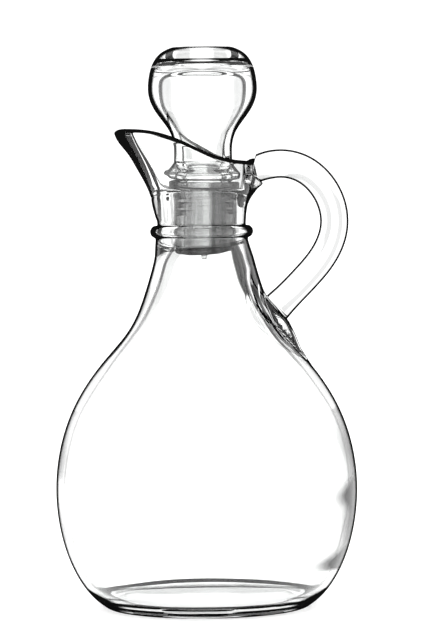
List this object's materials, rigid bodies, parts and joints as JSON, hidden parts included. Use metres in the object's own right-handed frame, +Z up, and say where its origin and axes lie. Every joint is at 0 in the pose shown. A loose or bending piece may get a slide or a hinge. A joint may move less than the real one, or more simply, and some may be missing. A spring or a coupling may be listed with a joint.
{
  "type": "glass oil cruet",
  "caption": "Clear glass table cruet for oil with a round bowl, pouring spout, bowed glass rod handle and a hollow lift-out stopper in a soft plastic sleeve.",
  "frame": {"origin": "centre of the bottle's foot, on the surface it stands on", "axes": "+Z up along the neck's axis, spout towards -X, handle towards +X"},
  "size_m": [0.0854, 0.0854, 0.1587],
  "materials": {
    "clear_glass": "clear, fire-polished",
    "sleeve_plastic": "soft translucent grey, satin"
  },
  "bodies": {
    "bottle": {"bottle": "clear_glass", "handle": "clear_glass"},
    "sleeve": {"stopper_sleeve": "sleeve_plastic"},
    "stopper": {"stopper_glass": "clear_glass"}
  },
  "joints": [
    {"name": "stopper_lift", "type": "slide", "parent": "bottle", "child": "sleeve", "axis": [0, 0, 1], "range_m": [0, 0.045]},
    {"name": "stopper_twist", "type": "hinge", "parent": "sleeve", "child": "stopper", "pos_m": [0, 0, 0.11], "axis": [0, 0, 1], "continuous": true}
  ]
}
